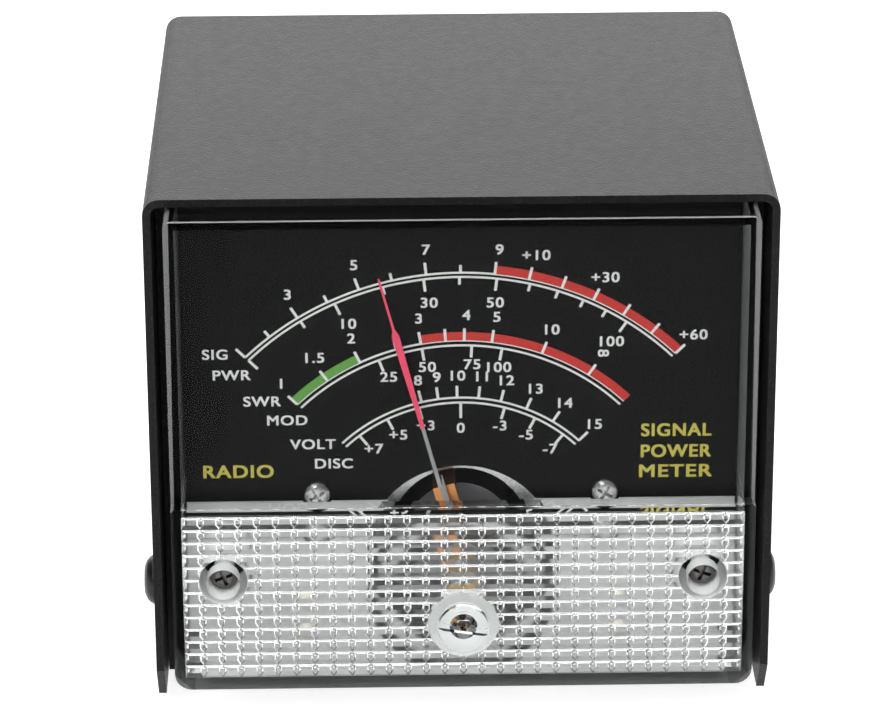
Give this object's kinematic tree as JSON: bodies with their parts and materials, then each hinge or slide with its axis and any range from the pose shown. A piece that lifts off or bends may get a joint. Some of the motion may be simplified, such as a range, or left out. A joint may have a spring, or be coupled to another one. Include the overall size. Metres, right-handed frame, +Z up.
{
  "type": "swr meter",
  "caption": "Bench meter in a folded black steel case, with a large clear-fronted moving-coil panel meter and a multi-scale dial.",
  "frame": {"origin": "on the table, at the centre of the bounding box's base", "axes": "+X to the right seen from the front, +Y to the rear, +Z up; the dial faces -Y"},
  "size_m": [0.1154, 0.114, 0.0995],
  "materials": {
    "cover_paint": "satin",
    "chassis_paint": "satin",
    "black_screw": "satin",
    "foot_rubber": "matte",
    "clear_plastic": "gloss",
    "base_plastic": "matte",
    "bright_steel": "satin",
    "chrome_screw": "gloss",
    "brass": "satin",
    "dial_black": "matte",
    "white_plastic": "matte",
    "lamp_plastic": "gloss",
    "board_green": "satin",
    "pointer_red": "satin",
    "aluminium": "satin",
    "copper_wire": "gloss",
    "magnet_grey": "satin",
    "trimmer_blue": "satin",
    "resistor_tan": "satin",
    "sleeve_blue": "gloss",
    "socket_black": "satin",
    "red_wire": "satin",
    "black_wire": "satin"
  },
  "bodies": {
    "case": {"cover": "cover_paint", "front_panel": "chassis_paint", "chassis": "chassis_paint", "rear_panel": "chassis_paint", "case_screws": "black_screw", "feet": "foot_rubber", "lens_cover": "clear_plastic", "lens_screws": "bright_steel", "meter_base": "base_plastic", "meter_nuts": "bright_steel", "meter_washers": "bright_steel", "terminal_studs": "brass", "terminal_nuts": "brass", "solder_lugs": "bright_steel", "dial_plate": "dial_black", "dial_screws": "chrome_screw", "light_reflector": "white_plastic", "lamp_boards": "board_green", "lamps": "lamp_plastic", "front_bridge": "aluminium", "rear_bridge": "aluminium", "rear_hairspring": "brass", "jewel_screws": "brass", "lever_nut": "brass", "core_magnet": "magnet_grey", "core_spacers": "aluminium", "yoke_ring": "bright_steel", "movement_screws": "bright_steel", "circuit_board": "board_green", "board_spacers": "brass", "board_screws": "black_screw", "board_nuts": "bright_steel", "calibration_trimmer": "trimmer_blue", "resistors": "resistor_tan", "capacitor": "sleeve_blue", "meter_socket": "socket_black", "socket_nut": "chrome_screw", "supply_socket": "socket_black", "supply_pin": "chrome_screw", "supply_nut": "bright_steel", "meter_wires": "red_wire", "lamp_wires": "black_wire"},
    "adjuster": {"zero_adjuster": "clear_plastic", "adjuster_ring": "bright_steel"},
    "lever": {"zero_lever": "aluminium", "front_hairspring": "brass"},
    "pointer": {"pointer_blade": "pointer_red", "pointer_stem": "aluminium", "balance_weights": "brass", "coil_winding": "copper_wire", "coil_former": "aluminium", "pivots": "bright_steel"},
    "trimmer": {"trimmer_rotor": "white_plastic"}
  },
  "joints": [
    {"name": "zero_adjust", "type": "hinge", "parent": "case", "child": "adjuster", "pos_m": [0, -0.052, 0.0216], "axis": [0, 1, 0], "range_deg": [-60, 60]},
    {"name": "zero_lever_turn", "type": "hinge", "parent": "case", "child": "lever", "pos_m": [0, -0.0404, 0.0274], "axis": [0, 1, 0], "range_deg": [-5, 5]},
    {"name": "pointer_swing", "type": "hinge", "parent": "lever", "child": "pointer", "pos_m": [0, -0.028, 0.0274], "axis": [0, 1, 0], "range_deg": [-33, 63], "stiffness_Nm_per_rad": 0.0001},
    {"name": "trimmer_turn", "type": "hinge", "parent": "case", "child": "trimmer", "pos_m": [0, 0.0483, 0.062], "axis": [0, 1, 0], "range_deg": [-135, 135]}
  ],
  "couplings": [
    {"joint": "zero_lever_turn", "follows": "zero_adjust", "ratio": 0.081}
  ]
}
